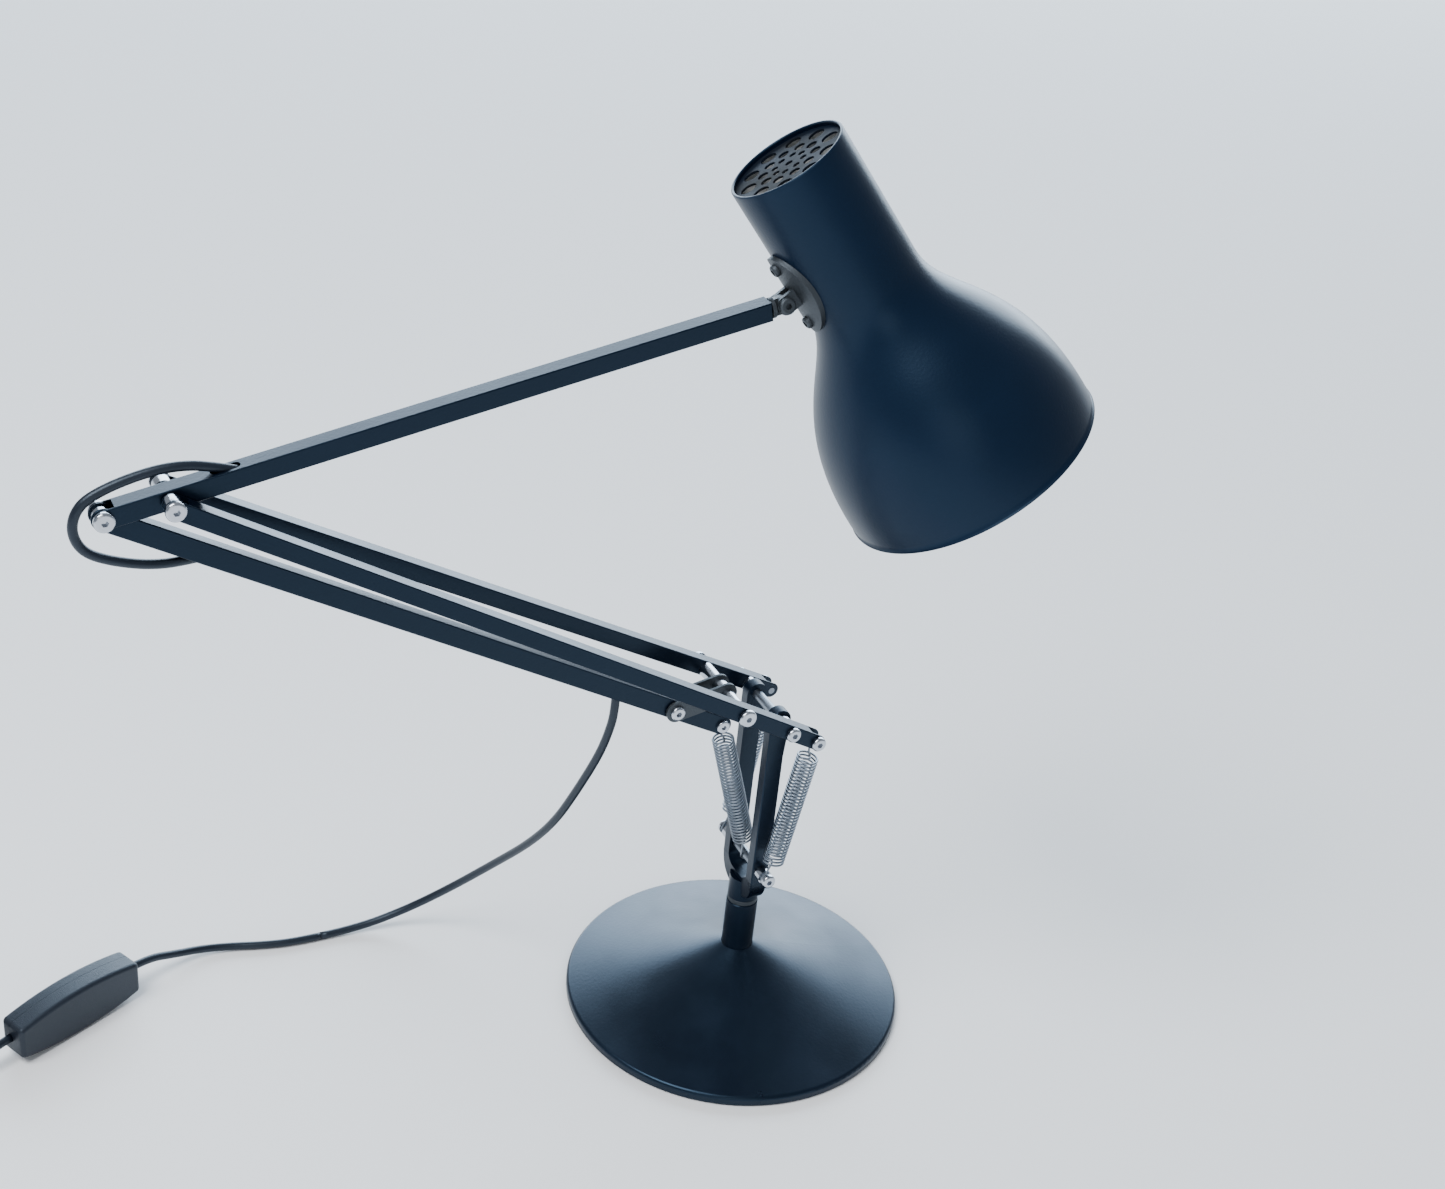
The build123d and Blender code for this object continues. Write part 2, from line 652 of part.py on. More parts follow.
# ---------------------------------------------------------------- upper arm
arm_end = upper_length - eye_radius - collar_length - 0.9
tail_reach = link_length + upper_height / 2
loop_exit = 29.0  # elbow to the hole the elbow loop leaves by, along the arm
fork_half = rod_width / 2 + fork_gap
fork_mouth = 28.5  # how far the tail is open underneath, from the tail pin
with BuildPart() as upper_arm:
    with BuildSketch(upper_plane):
        with Locations((-link_length, 0)):
            Circle(upper_height / 2)
        with Locations(((arm_end - link_length) / 2, 0)):
            Rectangle(arm_end + link_length, upper_height)
    extrude(amount=upper_width / 2, both=True)
    rims = [face.edges() for face in upper_arm.faces().filter_by(upper_plane)]
    fillet(rims[0] + rims[1], 0.7)
    with BuildSketch(upper_plane):
        with Locations(((arm_end - tail_reach) / 2, 0)):
            Rectangle(arm_end + tail_reach + 1, upper_height - 2 * tube_wall)
    extrude(amount=fork_half, both=True, mode=Mode.SUBTRACT)
    with BuildSketch(upper_plane):
        with Locations((-link_length, 0)):
            Rectangle(2 * end_slot, upper_height + 1)
        with Locations((fork_mouth - link_length, -upper_height / 2)):
            Rectangle(fork_mouth + tail_reach, upper_height, align=(Align.MAX, Align.CENTER))
    extrude(amount=fork_half, both=True, mode=Mode.SUBTRACT)
    with BuildSketch(upper_plane):
        with Locations((0, 0), (-link_length, 0)):
            Circle(pin_radius + running_fit)
    extrude(amount=upper_width, both=True, mode=Mode.SUBTRACT)
    with BuildSketch(Plane(origin=elbow, x_dir=to_shade, z_dir=upper_plane.y_dir)):
        with Locations((loop_exit, 0)):
            SlotOverall(6 * cord_radius, 2 * slot_half)
    extrude(amount=upper_height, mode=Mode.SUBTRACT)
finish(upper_arm.part, "upper_arm_tube")

# steel bush across the arm that turns on the elbow pin
finish(
    tube_along_y(elbow, -fork_half + 0.05, fork_half - 0.05, upper_height / 2 - tube_wall - 0.1, sleeve_bore),
    "elbow_bearing",
)

# pin and screws that hold the rod's end in the tail's fork
tail_half = upper_width / 2 + 0.05
finish(drilled_pin(tail_pivot, tail_half, pin_radius), "tail_pin")
tail_seats = [side_plane(tail_pivot, side, tail_half) for side in (-1, 1)]
finish(button_screws(tail_seats, large_head_radius), "tail_screws")

# moulded plug in the arm's end that carries the shade's swivel
plug_depth = 16.0
swivel_radius = 3.2
with BuildPart() as arm_end_plug:
    with BuildSketch(Plane(origin=elbow + to_shade * (arm_end - plug_depth), z_dir=to_shade)):
        Rectangle(upper_height - 2 * tube_wall - 0.1, 2 * fork_half - 0.1)
        Circle(swivel_radius + running_fit, mode=Mode.SUBTRACT)
    extrude(amount=plug_depth)
finish(arm_end_plug.part, "arm_end_plug")

# the lead inside the upper arm and inside the lower rod
def straight_lead(start, end):
    """Cord lying straight inside a tube."""
    with BuildPart() as lead:
        with BuildSketch(Plane(origin=start, z_dir=end - start)):
            Circle(cord_radius)
        extrude(amount=(end - start).length)
    return lead.part


lead_in_arm = straight_lead(
    elbow + to_shade * (loop_exit + 9.5), elbow + to_shade * (arm_end - plug_depth - 2.0)
)
finish(lead_in_arm, "lead_in_upper_arm")
lead_in_rod = straight_lead(
    link_pin + to_elbow * (lead_exit + 6.5), link_pin + to_elbow * (loop_entry - 12.0)
)
finish(lead_in_rod, "lead_in_lower_rod")

# ---------------------------------------------------------------- shade's knuckle
turn = Axis((0, 0, 0), to_shade)
shade_axis = direction(-shade_tilt).rotate(turn, shade_swivel)  # from the neck's top to the mouth
shade_away = direction(90 - shade_tilt).rotate(turn, shade_swivel)  # across the shade, away from the arm
tilt_line = Vector(0, 1, 0).rotate(turn, shade_swivel)
shade_middle = tilt_axis_point + shade_away * (saddle_gap + neck_radius)
shade_top = shade_middle - shade_axis * tilt_to_top
shade_plane = Plane(origin=shade_top, x_dir=shade_axis, z_dir=-tilt_line)  # its y runs away from the arm
shade_line = Axis(shade_top, shade_axis)
tilt_plane = Plane(origin=tilt_axis_point, x_dir=shade_axis, z_dir=tilt_line)

# cast knuckle: a stub that turns in the arm's end, a collar and an eye on the tilt axis
with BuildPart() as knuckle:
    with BuildSketch(Plane(origin=elbow + to_shade * (arm_end - plug_depth + 1.0), z_dir=to_shade)):
        Circle(swivel_radius)
    extrude(amount=plug_depth)
    with BuildSketch(Plane(origin=elbow + to_shade * (arm_end + 0.3), z_dir=to_shade)):
        Circle(collar_radius)
    extrude(amount=collar_length)
    with BuildSketch(Plane(origin=elbow + to_shade * (arm_end + 0.3), z_dir=to_shade, x_dir=tilt_line)):
        Rectangle(eye_width, 2 * eye_radius - 1.0)
    extrude(amount=upper_length - arm_end - 0.3)
    with BuildSketch(tilt_plane):
        Circle(eye_radius)
    extrude(amount=eye_width / 2, both=True)
    with BuildSketch(tilt_plane):
        Circle(small_pin_radius + running_fit)
    extrude(amount=eye_width, both=True, mode=Mode.SUBTRACT)
finish(knuckle.part, "shade_knuckle")

# ---------------------------------------------------------------- shade
# spun aluminium shade: a straight neck that flares into a bell, with a rolled edge at each end
flare_length = shade_length - neck_length
flare_rise = mouth_radius - neck_radius
flare_mid = (neck_length + 0.295 * flare_length, neck_radius + 0.37 * flare_rise)
bell_mid = (neck_length + 0.61 * flare_length, neck_radius + 0.855 * flare_rise)
screw_places = [(-saddle_screw_spread, 0), (saddle_screw_spread, 0)]
toward_neck = Plane(origin=tilt_axis_point, x_dir=shade_axis, z_dir=shade_away)
with BuildPart() as shade:
    with BuildSketch(shade_plane):
        with BuildLine():
            Line((0, neck_radius - 1.6), (1.6, neck_radius - 0.2))
            Line((1.6, neck_radius - 0.2), (neck_length, neck_radius))
            Spline(
                (neck_length, neck_radius),
                flare_mid,
                bell_mid,
                (shade_length, mouth_radius),
                tangents=[(1, 0.0), (1, -0.02)],
            )
            Line((shade_length, mouth_radius), (shade_length, mouth_radius - shade_wall))
            Spline(
                (shade_length, mouth_radius - shade_wall),
                (bell_mid[0] + 0.5 * shade_wall, bell_mid[1] - shade_wall * 0.95),
                (flare_mid[0] + 0.7 * shade_wall, flare_mid[1] - shade_wall * 0.9),
                (neck_length + 1.0, neck_radius - shade_wall),
                tangents=[(-1, 0.02), (-1, 0.0)],
            )
            Line((neck_length + 1.0, neck_radius - shade_wall), (1.6, neck_radius - shade_wall))
            Line((1.6, neck_radius - shade_wall), (0, neck_radius - 1.6))
        make_face()
    revolve(axis=shade_line)
    with BuildSketch(toward_neck):
        with Locations(*screw_places):
            Circle(thread_radius + 0.15)
    extrude(amount=saddle_gap + shade_wall + 3.0, mode=Mode.SUBTRACT)
finish(shade.part, "shade_shell")

# pressed vent disc with rings of round holes, let into the neck's top
vent_radius = neck_radius - shade_wall - 0.05
vent_rings = ((24.3, 4.6, 10, 0.0), (15.4, 3.1, 10, 18.0), (8.6, 2.0, 8, 0.0))  # ring, hole, count, start
with BuildPart() as vent:
    with BuildSketch(Plane(origin=shade_top + shade_axis * vent_recess, z_dir=shade_axis, x_dir=tilt_line)):
        Circle(vent_radius)
        for ring, hole, count, start in vent_rings:
            with PolarLocations(ring, count, start_angle=start):
                Circle(hole, mode=Mode.SUBTRACT)
        Circle(2.2, mode=Mode.SUBTRACT)
    extrude(amount=vent_thickness)
finish(vent.part, "vent_disc")

# cast saddle that hugs the neck, with two lugs on the tilt axis
saddle_seat = neck_radius + 0.15
with BuildPart() as saddle:
    with BuildSketch(Plane(origin=shade_middle - shade_axis * saddle_length, z_dir=shade_axis)):
        Circle(saddle_seat + saddle_thickness)
        Circle(saddle_seat, mode=Mode.SUBTRACT)
    extrude(amount=2 * saddle_length)
    with BuildSketch(toward_neck):
        Ellipse(saddle_length / 2, saddle_width / 2)
    extrude(amount=neck_radius, mode=Mode.INTERSECT)
    lug_reach = saddle_gap - saddle_thickness * 0.6
    for side in (-1, 1):
        with BuildSketch(tilt_plane.offset(side * (eye_width / 2 + lug_gap))):
            Circle(eye_radius)
            with Locations((0, -lug_reach / 2)):
                Rectangle(2 * eye_radius, lug_reach)
        extrude(amount=side * lug_thickness)
    with BuildSketch(tilt_plane):
        Circle(small_pin_radius + running_fit)
    extrude(amount=saddle_width, both=True, mode=Mode.SUBTRACT)
    with BuildSketch(toward_neck):
        with Locations(*screw_places):
            Circle(thread_radius + 0.15)
    extrude(amount=saddle_gap + shade_wall + 3.0, mode=Mode.SUBTRACT)
    with BuildSketch(shade_plane):
        with BuildLine():
            clear = 0.15
            Spline(
                (neck_length - 4.0, neck_radius + clear),
                (neck_length, neck_radius + clear),
                (flare_mid[0], flare_mid[1] + clear),
                (bell_mid[0], bell_mid[1] + clear),
            )
            Polyline((neck_length - 4.0, neck_radius + clear), (neck_length - 4.0, 0), (bell_mid[0], 0))
            Line((bell_mid[0], 0), (bell_mid[0], bell_mid[1] + clear))
        make_face()
    revolve(axis=shade_line, mode=Mode.SUBTRACT)
finish(saddle.part, "shade_saddle")

# screws that hold the saddle and the lampholder's strap to the neck
saddle_face = saddle_gap - saddle_thickness - 0.15  # tilt axis to the saddle's crest
screw_seats = [
    Plane(
        origin=tilt_axis_point + shade_axis * place[0] + shade_away * saddle_face,
        x_dir=tilt_line,
        z_dir=-shade_away,
    )
    for place in screw_places
]
finish(button_screws(screw_seats, small_head_radius - 0.9, thread_radius, 8.0), "saddle_screws")

# bolt on the tilt axis, through the saddle's lugs and the knuckle's eye
tilt_half = eye_width / 2 + lug_gap + lug_thickness + 0.1
tilt_ends = [
    Plane(origin=tilt_axis_point + tilt_line * side * tilt_half, x_dir=shade_axis, z_dir=tilt_line * side)
    for side in (-1, 1)
]
with BuildPart() as tilt_bolt:
    with BuildSketch(tilt_plane):
        Circle(small_pin_radius)
    extrude(amount=tilt_half, both=True)
    for seat in tilt_ends:
        with BuildSketch(seat):
            Circle(eye_radius - 0.4)
        extrude(amount=head_height)
        fillet(tilt_bolt.edges(Select.LAST).group_by(Axis(seat.origin, seat.z_dir))[-1], head_height * 0.55)
        with BuildSketch(seat.offset(head_height)):
            RegularPolygon(socket_flats / 2, 6, major_radius=False)
        extrude(amount=-head_height * 0.7, mode=Mode.SUBTRACT)
finish(tilt_bolt.part, "shade_tilt_bolt")

# ---------------------------------------------------------------- lampholder and bulb
holder_end = holder_start + holder_length
bulb_base_length = 25.0
holder_bore = bulb_base_radius + 0.4


def across_shade(distance):
    """Plane across the shade at a distance from the neck's top, facing the mouth."""
    return Plane(origin=shade_top + shade_axis * distance, x_dir=tilt_line, z_dir=shade_axis)


# moulded lampholder with a strap that the saddle's screws pull against the neck's inside
with BuildPart() as holder:
    with BuildSketch(toward_neck.offset(saddle_gap)):
        RectangleRounded(2 * saddle_screw_spread + 10.0, 12.0, 3.0)
    extrude(amount=neck_radius - holder_radius + 2.0)
    with BuildSketch(across_shade(0)):
        Circle(neck_radius - shade_wall - 0.1)
    extrude(amount=neck_length + 20.0, mode=Mode.INTERSECT)
    with BuildSketch(across_shade(holder_start + 8.0)):
        Circle(holder_radius)
    extrude(amount=holder_length - 8.0)
    with BuildSketch(across_shade(holder_start)):
        Circle(holder_radius * 0.7)
    extrude(amount=8.0)
    with BuildSketch(across_shade(holder_end)):
        Circle(holder_bore)
    extrude(amount=-bulb_base_length - 3.0, mode=Mode.SUBTRACT)
    with BuildSketch(toward_neck):
        with Locations(*screw_places):
            Circle(thread_radius + 0.15)
    extrude(amount=saddle_gap + shade_wall + 8.0, mode=Mode.SUBTRACT)
finish(holder.part, "lampholder")

# bulb: a screw base in the holder and a round glass globe
with BuildPart() as bulb_base:
    with BuildSketch(across_shade(holder_end)):
        Circle(bulb_base_radius)
    extrude(amount=-bulb_base_length)
    chamfer(bulb_base.edges().group_by(Axis(shade_top, shade_axis))[0], 3.0)
finish(bulb_base.part, "bulb_base")

globe_start = (holder_end + 0.3, bulb_base_radius - 0.2)
globe_join = bulb_centre - 0.55 * bulb_radius
globe_join_radius = math.sqrt(bulb_radius**2 - (0.55 * bulb_radius) ** 2)
with BuildPart() as globe:
    with BuildSketch(shade_plane):
        with BuildLine():
            Line((globe_start[0], 0), globe_start)
            Spline(
                globe_start,
                (globe_join, globe_join_radius),
                tangents=[(1, 0.05), (globe_join_radius, 0.55 * bulb_radius)],
            )
            ThreePointArc(
                (globe_join, globe_join_radius), (bulb_centre, bulb_radius), (bulb_centre + bulb_radius, 0)
            )
            Line((bulb_centre + bulb_radius, 0), (globe_start[0], 0))
        make_face()
    revolve(axis=shade_line)
finish(globe.part, "bulb_globe")

# ---------------------------------------------------------------- free lead
lying = cord_radius + floor_gap  # height of the lead's middle where it lies on the table


def bend_radii(points):
    """Arc at each inner point: 0.45 of the shorter run beside it, over the tangent of half the turn."""
    radii = []
    for before, here, after in zip(points, points[1:], points[2:]):
        run_in, run_out = here - before, after - here
        half_turn = math.radians(run_in.get_angle(run_out)) / 2
        radii.append(0.45 * min(run_in.length, run_out.length) / math.tan(half_turn))
    return radii


def cord_tube(route, name):
    """Round lead along a route of points, with an arc at every inner point."""
    points = [Vector(*point) for point in route]
    radii = bend_radii(points)
    with BuildPart() as lead:
        with BuildLine() as middle:
            FilletPolyline(*points, radius=radii)
        with BuildSketch(Plane(origin=points[0], z_dir=points[1] - points[0])):
            Circle(cord_radius)
        sweep(path=middle.wires()[0])
    length = middle.wires()[0].length
    print(name, "length", round(length, 1), "radii", [round(radius, 1) for radius in radii])
    finish(lead.part, name)


# limp loop round the elbow, from the upper arm's top into the lower rod's underside
elbow_loop_route = [
    (-306.0, 0, 411.4),
    (-322.5, 0, 416.4),
    (-335.5, 0, 417.9),
    (-349.0, 0, 416.6),
    (-365.7, 0, 412.0),
    (-378.4, 0, 406.0),
    (-383.6, 0, 399.6),
    (-385.5, 0, 391.5),
    (-383.6, 0, 383.4),
    (-378.4, 0, 377.0),
    (-366.6, 0, 371.5),
    (-351.5, 0, 367.3),
    (-337.0, 0, 366.4),
    (-322.0, 0, 368.3),
]
cord_tube(elbow_loop_route, "elbow_loop")

# lead hanging from the lower rod to the table, then along it to the switch
hanging_route = [
    (-98.2, 0, 245.0),
    (-98.2, 0.3, 231.0),
    (-98.9, 3.0, 218.0),
    (-101.0, 9.5, 197.0),
    (-106.4, 24.5, 163.0),
    (-112.0, 40.0, 131.0),
    (-119.0, 61.0, 101.0),
    (-130.0, 89.0, 68.0),
    (-148.0, 114.0, 35.5),
    (-172.0, 129.0, 13.0),
    (-203.0, 133.5, lying),
    (-228.0, 133.6, lying),
]
cord_tube(hanging_route, "lead_hanging")

switch_middle = switch_height / 2 + floor_gap
floor_route = [
    (-228.2, 133.6, lying),
    (-245.0, 133.7, lying),
    (-264.0, 137.0, lying),
    (-283.0, 142.5, 2.7),
    (-301.0, 144.2, 4.4),
    (-319.0, 139.5, 9.0),
    (-336.0, 134.1, 14.9),
    (-349.5, 127.5, 15.6),
]
cord_tube(floor_route, "lead_floor")

# ---------------------------------------------------------------- switch on the lead
switch_line = Vector(-0.897, -0.442, 0).normalized()  # along the switch, from the lamp to the plug
switch_face = Vector(0, 0, 1).cross(switch_line)  # out of its front half
switch_point = Vector(-349.5, 127.5, switch_middle) + switch_line * switch_length / 2
switch_plane = Plane(origin=switch_point, x_dir=switch_line, z_dir=switch_face)
half_length = switch_length / 2
rocker_pocket = 5.0
rocker_pivot = Plane(origin=switch_point - switch_face * (switch_rear - 2.5), z_dir=(0, 0, 1))
halves = ((switch_front, 1, "switch_front"), (switch_rear, -1, "switch_rear"))

# two moulded halves, bowed along their long edges, parted by a seam
for thickness, side, name in halves:
    with BuildPart() as half:
        with BuildSketch(switch_plane.offset(side * switch_seam / 2)):
            with BuildLine():
                for edge in (-1, 1):
                    ThreePointArc(
                        (-half_length, edge * switch_end_height / 2),
                        (0, edge * switch_height / 2),
                        (half_length, edge * switch_end_height / 2),
                    )
                for end in (-half_length, half_length):
                    Line((end, -switch_end_height / 2), (end, switch_end_height / 2))
            make_face()
        extrude(amount=side * (thickness - switch_seam / 2))
        outward = Axis(switch_point, switch_face * side)
        fillet(half.edges().filter_by(switch_plane, reverse=True).filter_by(GeomType.LINE), 3.0)
        fillet(half.edges().group_by(outward)[-1], 2.6)
        with BuildSketch(Plane(origin=switch_point, z_dir=switch_line, x_dir=switch_face)):
            Circle(cord_radius + 0.15)
        extrude(amount=switch_length, both=True, mode=Mode.SUBTRACT)
        if side < 0:
            with BuildSketch(switch_plane.offset(-switch_rear)):
                Rectangle(rocker_length + 1.0, rocker_height + 0.8)
            extrude(amount=rocker_pocket, mode=Mode.SUBTRACT)
            with BuildSketch(rocker_pivot):
                Circle(rocker_pin_radius + running_fit)
            extrude(amount=rocker_height / 2 + 1.6, both=True, mode=Mode.SUBTRACT)
    finish(half.part, name)

# rocker button let into the rear half, on two stub pins of its own
with BuildPart() as rocker:
    with BuildSketch(switch_plane.offset(-switch_rear + rocker_pocket - 1.3)):
        Rectangle(rocker_length, rocker_height)
    extrude(amount=-rocker_pocket + 1.3 - 1.2)
    fillet(rocker.edges().group_by(Axis(switch_point, -switch_face))[-1], 0.8)
    with BuildSketch(rocker_pivot):
        Circle(rocker_pin_radius)
    extrude(amount=rocker_height / 2 + 1.3, both=True)
finish(rocker.part, "switch_rocker")

# ---------------------------------------------------------------- coil and plug
# spare lead wound flat beside the view, as one ring of the lead's own volume
coil_middle = (-477.7, 102.4)
coil_height = math.pi * cord_radius**2 * coil_lead_length / (4 * math.pi * coil_radius * coil_band)
with BuildPart() as coil:
    with BuildSketch(Plane.XY.offset(floor_gap)):
        with Locations(coil_middle):
            Circle(coil_radius + coil_band)
            Circle(coil_radius - coil_band, mode=Mode.SUBTRACT)
    extrude(amount=coil_height)
    fillet(coil.edges(), coil_height * 0.3)
finish(coil.part, "lead_coil")

to_coil_route = [
    (-424.9, 90.4, 15.6),
    (-436.7, 84.7, 15.0),
    (-447.5, 79.4, 9.6),
]
cord_tube(to_coil_route, "lead_to_coil")

plug_middle = plug_thickness / 2 + floor_gap
plug_route = [
    (-509.2, 127.5, 6.4),
    (-509.3, 139.0, 5.0),
    (-509.7, 151.0, 5.9),
    (-510.0, 163.0, 7.1),
]
cord_tube(plug_route, "lead_to_plug")

# moulded two-pin plug with a tapered relief
relief_start = Plane(origin=(-510.0, 163.6, plug_middle), x_dir=(1, 0, 0), z_dir=(0, 1, 0))
with BuildPart() as plug:
    with BuildSketch(relief_start):
        Circle(cord_radius + 0.6)
    with BuildSketch(relief_start.offset(relief_length)):
        Circle(cord_radius + 2.0)
    loft()
    with BuildSketch(relief_start.offset(relief_length)):
        RectangleRounded(plug_width * 0.62, plug_thickness * 0.86, 4.0)
    with BuildSketch(relief_start.offset(relief_length + plug_length)):
        RectangleRounded(plug_width, plug_thickness, 4.0)
    loft()
finish(plug.part, "plug_body")

with BuildPart() as plug_pins:
    with BuildSketch(relief_start.offset(relief_length + plug_length)):
        with GridLocations(plug_width - 7.0, 0, 2, 1):
            Circle(2.0)
    extrude(amount=plug_pin_length)
    fillet(plug_pins.faces().sort_by(Axis.Y)[-2:].edges(), 1.2)
finish(plug_pins.part, "plug_pins")
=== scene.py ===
import json
import math

import bpy
import numpy as np
from mathutils import Matrix, Vector


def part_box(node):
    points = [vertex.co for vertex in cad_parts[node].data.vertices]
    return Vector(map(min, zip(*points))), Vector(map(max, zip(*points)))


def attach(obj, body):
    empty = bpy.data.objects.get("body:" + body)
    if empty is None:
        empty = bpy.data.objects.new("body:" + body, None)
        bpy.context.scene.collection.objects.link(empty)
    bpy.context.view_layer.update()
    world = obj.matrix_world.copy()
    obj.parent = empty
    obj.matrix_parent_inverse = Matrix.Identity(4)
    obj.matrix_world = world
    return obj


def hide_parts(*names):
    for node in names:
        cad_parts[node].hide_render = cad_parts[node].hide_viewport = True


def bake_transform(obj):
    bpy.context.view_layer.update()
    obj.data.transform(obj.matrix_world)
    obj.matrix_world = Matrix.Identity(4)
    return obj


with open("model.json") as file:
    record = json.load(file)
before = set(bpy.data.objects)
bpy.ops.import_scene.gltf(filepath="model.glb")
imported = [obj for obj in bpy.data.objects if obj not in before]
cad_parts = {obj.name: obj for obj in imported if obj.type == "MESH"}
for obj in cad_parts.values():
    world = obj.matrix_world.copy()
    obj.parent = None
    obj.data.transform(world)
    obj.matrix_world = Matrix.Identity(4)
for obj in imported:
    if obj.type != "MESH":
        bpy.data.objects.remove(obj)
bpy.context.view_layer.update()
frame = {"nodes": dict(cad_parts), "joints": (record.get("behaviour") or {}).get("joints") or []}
nodes = frame["nodes"]

# ---------------------------------------------------------------- camera
# A hand-held view from the front left, a little above the shade, looking down on the base.
# The eye's place, its right and its line of sight were measured against the lamp's frame.
eye = Vector((-0.5267, -0.8688, 0.8664))
right = Vector((0.89263, -0.44073, 0.09468))
ahead = Vector((0.42624, 0.75682, -0.49552))
camera_data = bpy.data.cameras.new("camera")
camera_data.sensor_width = 36.0
camera_data.lens = 51.23
camera = bpy.data.objects.new("camera", camera_data)
bpy.context.scene.collection.objects.link(camera)
turned = Matrix((right, ahead.cross(right) * -1, -ahead)).transposed().to_4x4()
camera.matrix_world = Matrix.Translation(eye) @ turned
bpy.context.scene.camera = camera

# ---------------------------------------------------------------- table and light
# A pale matt table top under a dim white room, with one broad window-like light far behind the lamp,
# a soft one overhead on the left, and a weak fill from the camera's side.
floor_mesh = bpy.data.meshes.new("table_top")
reach = 40.0
floor_mesh.from_pydata(
    [(-reach, -reach, 0), (reach, -reach, 0), (reach, reach, 0), (-reach, reach, 0)], [], [(0, 1, 2, 3)]
)
floor = bpy.data.objects.new("table_top", floor_mesh)
bpy.context.scene.collection.objects.link(floor)
floor_look = bpy.data.materials.new("table_top")
floor_look.use_nodes = True
floor_shader = floor_look.node_tree.nodes["Principled BSDF"]
floor_shader.inputs["Base Color"].default_value = (0.95, 0.95, 0.95, 1)
floor_shader.inputs["Roughness"].default_value = 0.75
floor_mesh.materials.append(floor_look)

world = bpy.data.worlds.new("room")
world.use_nodes = True
world.node_tree.nodes["Background"].inputs["Color"].default_value = (0.86, 0.92, 1.0, 1)
world.node_tree.nodes["Background"].inputs["Strength"].default_value = 0.42
bpy.context.scene.world = world


def soft_light(name, place, aim, width, height, power, colour):
    """Rectangular soft light at a place, facing a point."""
    data = bpy.data.lights.new(name, "AREA")
    data.shape = "RECTANGLE"
    data.size, data.size_y = width, height
    data.energy = power
    data.color = colour
    lamp = bpy.data.objects.new(name, data)
    lamp.location = place
    lamp.rotation_euler = (Vector(aim) - Vector(place)).to_track_quat("-Z", "Y").to_euler()
    bpy.context.scene.collection.objects.link(lamp)


soft_light("window_behind", (3.3, 6.3, 2.55), (0.0, 0.0, 0.15), 10.2, 5.4, 1350, (0.72, 0.86, 1.0))
soft_light("ceiling_left", (-1.5, -0.4, 2.6), (0.0, 0.0, 0.1), 1.5, 1.5, 90, (0.95, 0.97, 1.0))
soft_light("fill_front", (-1.0, -2.4, 1.0), (0.0, 0.0, 0.2), 1.4, 1.4, 8, (1.0, 0.98, 0.95))


# ---------------------------------------------------------------- free lead
# Round two-core lead in a satin black sheath, 5 mm thick. It loops limply round the elbow, leaves the
# lower rod by a slot underneath, hangs to the table and runs along it to the switch.
def surface(name, colours, roughness, metallic=0.0, grain=140.0, relief=0.02, patch=9.0, stretch=(1, 1, 1)):
    """Finish with a slow change between two colours, an uneven gloss between two roughnesses, and a fine
    relief. Colour and gloss follow cloudy noise at patch per metre, the relief noise at grain per metre."""
    look = bpy.data.materials.new(name)
    look.use_nodes = True
    tree = look.node_tree
    shader = tree.nodes["Principled BSDF"]
    shader.inputs["Metallic"].default_value = metallic
    where = tree.nodes.new("ShaderNodeTexCoord")
    mapping = tree.nodes.new("ShaderNodeMapping")
    mapping.inputs["Scale"].default_value = stretch
    cloud = tree.nodes.new("ShaderNodeTexNoise")
    cloud.inputs["Scale"].default_value = patch
    cloud.inputs["Detail"].default_value = 5.0
    ramp = tree.nodes.new("ShaderNodeValToRGB")
    ramp.color_ramp.elements[0].position, ramp.color_ramp.elements[1].position = 0.35, 0.68
    ramp.color_ramp.elements[0].color = (*colours[0], 1)
    ramp.color_ramp.elements[1].color = (*colours[1], 1)
    gloss = tree.nodes.new("ShaderNodeMapRange")
    gloss.inputs["From Min"].default_value, gloss.inputs["From Max"].default_value = 0.3, 0.7
    gloss.inputs["To Min"].default_value, gloss.inputs["To Max"].default_value = roughness
    fine = tree.nodes.new("ShaderNodeTexNoise")
    fine.inputs["Scale"].default_value = grain
    fine.inputs["Detail"].default_value = 3.0
    bump = tree.nodes.new("ShaderNodeBump")
    bump.inputs["Strength"].default_value = relief
    bump.inputs["Distance"].default_value = 0.0006
    link = tree.links.new
    link(where.outputs["Object"], mapping.inputs["Vector"])
    link(mapping.outputs["Vector"], cloud.inputs["Vector"])
    link(mapping.outputs["Vector"], fine.inputs["Vector"])
    link(cloud.outputs["Fac"], ramp.inputs["Fac"])
    link(ramp.outputs["Color"], shader.inputs["Base Color"])
    link(cloud.outputs["Fac"], gloss.inputs["Value"])
    link(gloss.outputs["Result"], shader.inputs["Roughness"])
    link(fine.outputs["Fac"], bump.inputs["Height"])
    link(bump.outputs["Normal"], shader.inputs["Normal"])
    return look


def reflection(look, level, tint=(1, 1, 1)):
    """Sets how strongly a finish reflects and in which tint, the same all over it."""
    shader = look.node_tree.nodes["Principled BSDF"]
    shader.inputs["Specular IOR Level"].default_value = level
    shader.inputs["Specular Tint"].default_value = (*tint, 1)


